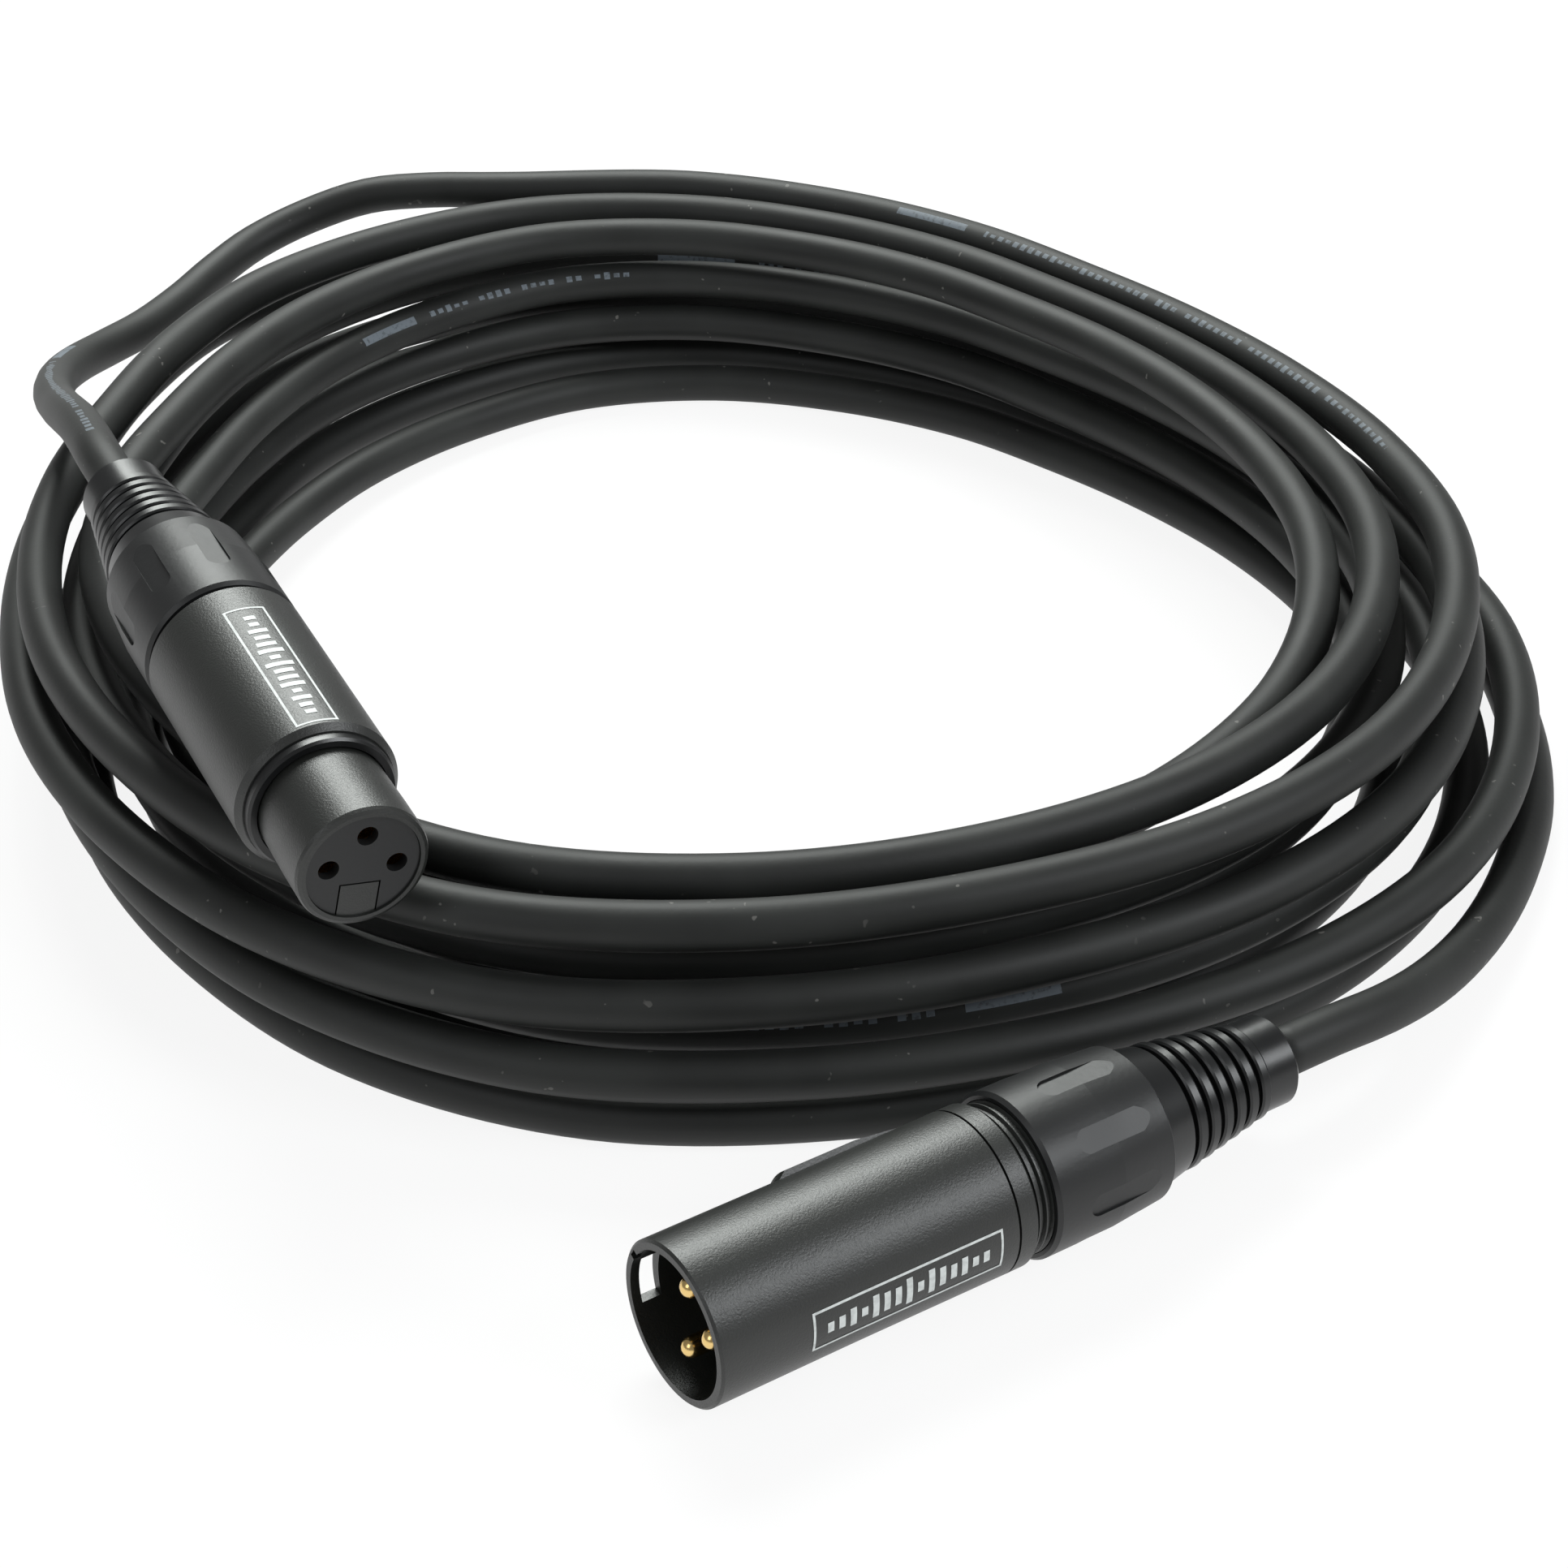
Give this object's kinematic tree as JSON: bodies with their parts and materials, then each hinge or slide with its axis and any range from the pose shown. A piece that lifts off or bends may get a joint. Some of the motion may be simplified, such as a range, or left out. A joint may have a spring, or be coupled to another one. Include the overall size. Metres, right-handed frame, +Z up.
{
  "type": "xlr cable coil",
  "caption": "Black microphone cable wound in a flat hand coil, with a three-pin plug lying beside it and a latching three-pin socket lying on top of it",
  "frame": {"origin": "on the surface under the middle of the box round the two connectors", "axes": "+X is within 2 degrees of the plug's axis and runs from its mating end to its cable, +Z is up, and +Y is away from the plug towards the coil"},
  "size_m": [0.2106, 0.278, 0.0538],
  "materials": {
    "jacket": "matte charcoal-black cable jacket with faint dust",
    "shell_paint": "satin black powder-coated metal",
    "bushing_plastic": "semi-matte black plastic",
    "boot_rubber": "smooth black rubber",
    "insert_plastic": "matte black glass-filled plastic",
    "contact_gold": "gold-plated",
    "clamp_plastic": "dark grey plastic",
    "ring_rubber": "black",
    "latch_metal": "black-finished metal",
    "steel": "plain",
    "wire_white": "white insulation",
    "wire_red": "red insulation",
    "wire_black": "black insulation"
  },
  "bodies": {
    "cable": {"cable_coil": "jacket", "plug_tail": "jacket", "socket_tail": "jacket", "plug_cable_end": "jacket", "socket_cable_end": "jacket", "plug_shell": "shell_paint", "socket_shell": "shell_paint", "plug_carrier": "insert_plastic", "socket_carrier": "insert_plastic", "socket_ring": "ring_rubber", "latch_pivot": "steel", "latch_spring": "steel", "plug_pin_1": "contact_gold", "socket_contact_1": "contact_gold", "plug_pin_2": "contact_gold", "socket_contact_2": "contact_gold", "plug_pin_3": "contact_gold", "socket_contact_3": "contact_gold", "plug_wire_1": "wire_white", "plug_wire_2": "wire_red", "plug_wire_3": "wire_black", "socket_wire_1": "wire_white", "socket_wire_2": "wire_red", "socket_wire_3": "wire_black"},
    "plug_clamp": {"plug_clamp": "clamp_plastic"},
    "plug_cap": {"plug_bushing": "bushing_plastic", "plug_boot": "boot_rubber"},
    "socket_clamp": {"socket_clamp": "clamp_plastic"},
    "socket_cap": {"socket_bushing": "bushing_plastic", "socket_boot": "boot_rubber"},
    "latch": {"socket_latch": "latch_metal"}
  },
  "joints": [
    {"name": "plug_clamp_slide", "type": "slide", "parent": "cable", "child": "plug_clamp", "axis": [0.9996, -0.0297, 0], "range_m": [0, 0.0015]},
    {"name": "plug_bushing_turn", "type": "hinge", "parent": "plug_clamp", "child": "plug_cap", "pos_m": [0.01372, -0.06597, 0.00995], "axis": [0.9996, -0.0297, 0], "range_deg": [0, 540]},
    {"name": "socket_clamp_slide", "type": "slide", "parent": "cable", "child": "socket_clamp", "axis": [0.1469, 0.9832, 0.108], "range_m": [0, 0.0015]},
    {"name": "socket_bushing_turn", "type": "hinge", "parent": "socket_clamp", "child": "socket_cap", "pos_m": [-0.03092, 0.04334, 0.04334], "axis": [0.1469, 0.9832, 0.108], "range_deg": [0, 540]},
    {"name": "latch_press", "type": "hinge", "parent": "cable", "child": "latch", "pos_m": [-0.03504, 0.02079, 0.03659], "axis": [-0.9768, 0.127, 0.1726], "range_deg": [0, 3], "stiffness_Nm_per_rad": 0.05, "springref_deg": -2.86}
  ],
  "couplings": [
    {"joint": "plug_clamp_slide", "follows": "plug_bushing_turn", "m_per_rad": 0.00015915},
    {"joint": "socket_clamp_slide", "follows": "socket_bushing_turn", "m_per_rad": 0.00015915}
  ]
}
